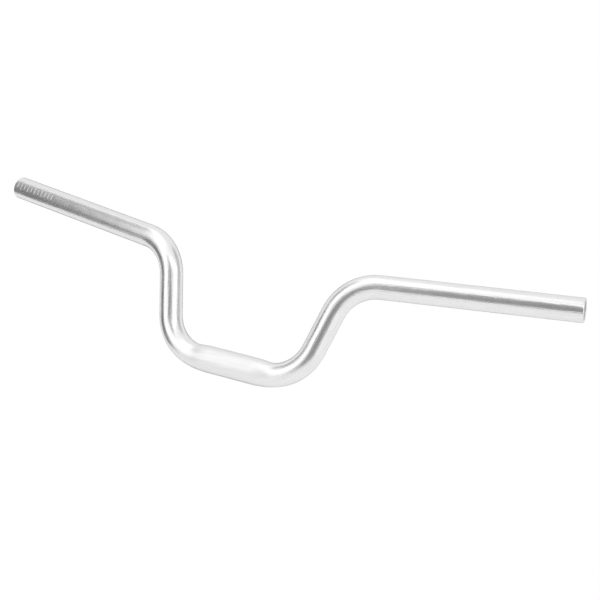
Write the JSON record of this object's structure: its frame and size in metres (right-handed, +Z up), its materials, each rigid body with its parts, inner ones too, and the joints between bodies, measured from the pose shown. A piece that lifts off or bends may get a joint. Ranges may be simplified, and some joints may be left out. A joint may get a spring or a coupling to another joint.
{
  "type": "riser handlebar",
  "caption": "Bent bicycle handlebar tube with a rise, a thicker clamp area in the middle and open grip ends that sweep up and back.",
  "frame": {"origin": "centre of the clamp area, on the tube's axis", "axes": "+X along the clamp area to the right-hand grip, +Y towards the rider, +Z up along the rise"},
  "size_m": [0.6138, 0.0531, 0.1463],
  "materials": {
    "satin_aluminium": "satin silver anodised, with a fine grain"
  },
  "bodies": {
    "root": {"handlebar": "satin_aluminium"}
  },
  "joints": []
}
